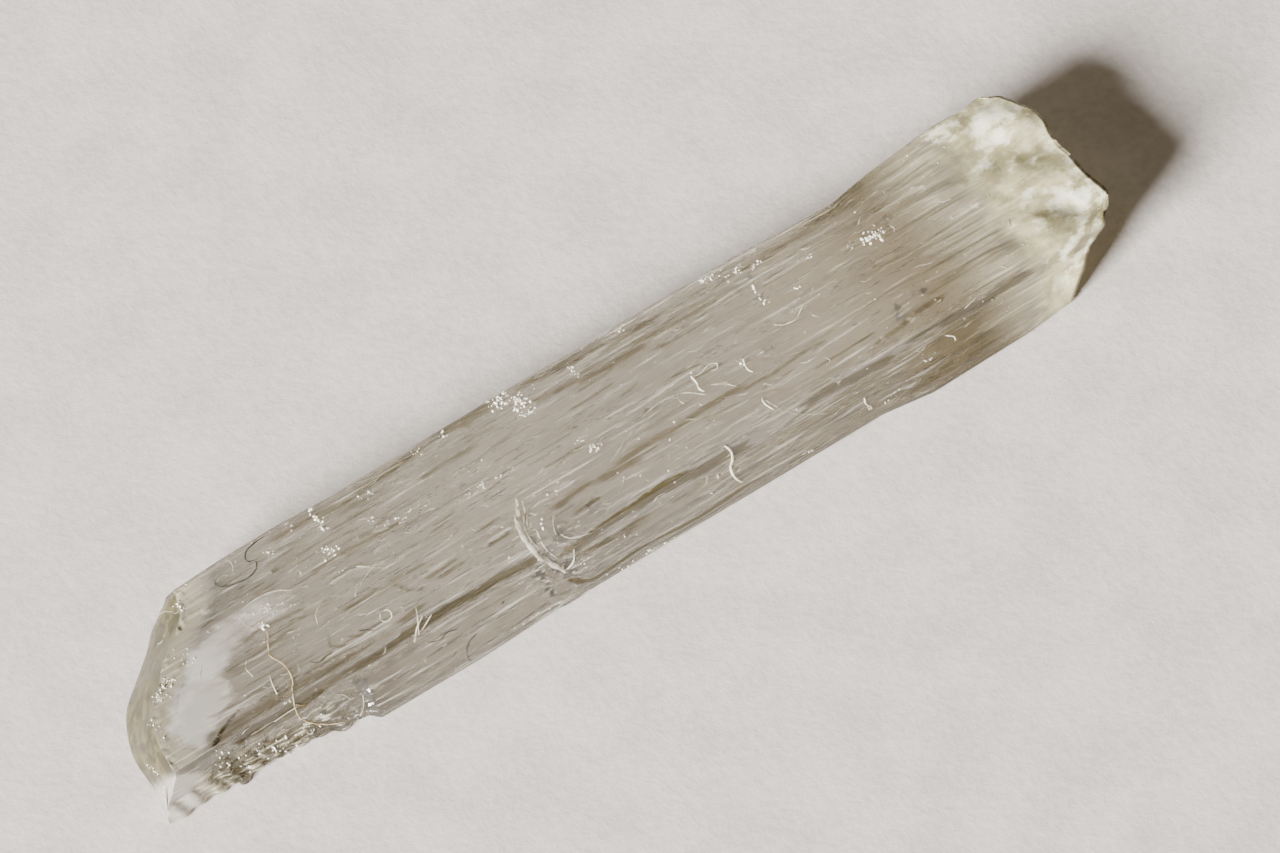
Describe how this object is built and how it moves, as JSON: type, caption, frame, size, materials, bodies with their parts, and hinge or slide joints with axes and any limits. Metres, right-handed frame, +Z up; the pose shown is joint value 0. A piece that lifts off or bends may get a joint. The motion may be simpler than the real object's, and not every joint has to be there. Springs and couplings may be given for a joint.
{
  "type": "sodium acetate crystal",
  "caption": "Loose clear elongated crystal of sodium acetate: a flat striated prism with one slanting end and one frosted overhanging end, lying on its broad face",
  "frame": {"origin": "on the surface it rests on, under the middle of its bounding box", "axes": "+X along the prism from the slanting end to the frosted end, +Y across it to the far side, +Z up"},
  "size_m": [0.012, 0.0024, 0.0008],
  "materials": {
    "clear_salt": "clear striated salt crystal, faintly olive in the depth, frosted white at one end",
    "lint": "fine dry lint and paper fibre",
    "salt_crumb": "tiny opaque white crumbs of salt"
  },
  "bodies": {
    "root": {"crystal": "clear_salt"}
  },
  "joints": []
}
